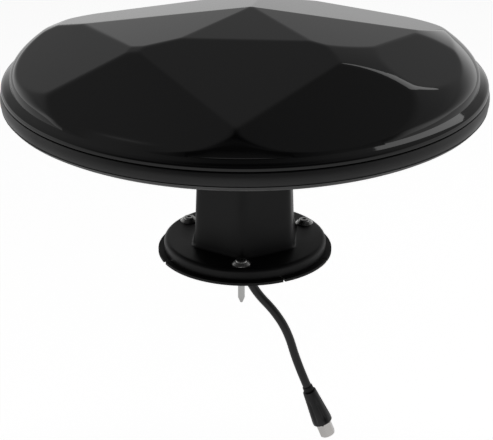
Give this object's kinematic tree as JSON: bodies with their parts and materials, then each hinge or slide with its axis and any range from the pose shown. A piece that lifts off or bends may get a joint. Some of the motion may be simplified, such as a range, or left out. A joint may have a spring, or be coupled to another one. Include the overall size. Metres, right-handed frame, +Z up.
{
  "type": "dome antenna",
  "caption": "Faceted dome antenna on a hexagonal stem with a screw-down round foot and a coaxial lead that ends in a screw-on plug.",
  "frame": {"origin": "centre of the base gasket's underside, the face that lies on the roof", "axes": "+Z up through the stem, -Y towards the front facet and the front mounting screw, +X to the right"},
  "size_m": [0.359, 0.359, 0.3562],
  "materials": {
    "radome_gloss": "high-gloss black ASA moulding",
    "shell_satin": "satin black ASA moulding",
    "stem_satin": "satin black ASA moulding",
    "black_rubber": "matt black EPDM rubber",
    "stainless": "stainless steel",
    "nickel": "bright nickel plate",
    "jacket_black": "black PVC cable jacket",
    "circuit_green": "glass-epoxy board with green solder mask",
    "aluminium": "mill-finish aluminium sheet",
    "tin_plate": "tin-plated steel sheet",
    "white_nylon": "natural nylon moulding",
    "brass": "turned brass",
    "copper": "bare copper"
  },
  "bodies": {
    "antenna": {"upper_cover": "radome_gloss", "lower_shell": "shell_satin", "rim_gasket": "black_rubber", "cover_screws": "stainless", "foot_flange": "stem_satin", "hex_stem": "stem_satin", "neck_seal": "black_rubber", "neck_screws": "stainless", "base_gasket": "black_rubber", "screw_washers": "stainless", "mounting_screws": "stainless", "foot_plate": "stem_satin", "lead_grommet": "black_rubber", "inner_lead": "jacket_black", "cable_clamp": "white_nylon", "clamp_screws": "stainless", "main_board": "circuit_green", "board_spacers": "brass", "board_screws": "stainless", "amplifier_can": "tin_plate", "can_lid": "tin_plate", "feed_hub": "white_nylon", "radiator_petals": "aluminium", "petal_screws": "stainless", "petal_posts": "white_nylon", "vhf_loop": "aluminium", "loop_posts": "white_nylon", "phasing_leads": "copper", "coax_lead": "jacket_black", "plug_boot": "black_rubber", "plug_body": "jacket_black", "plug_post": "nickel", "plug_dielectric": "white_nylon", "centre_pin": "copper"},
    "coupling_nut": {"coupling_nut": "nickel"}
  },
  "joints": [
    {"name": "nut_spin", "type": "hinge", "parent": "antenna", "child": "coupling_nut", "pos_m": [0.06413, 0.002, -0.15646], "axis": [0.3745, 0, -0.9272], "continuous": true}
  ]
}
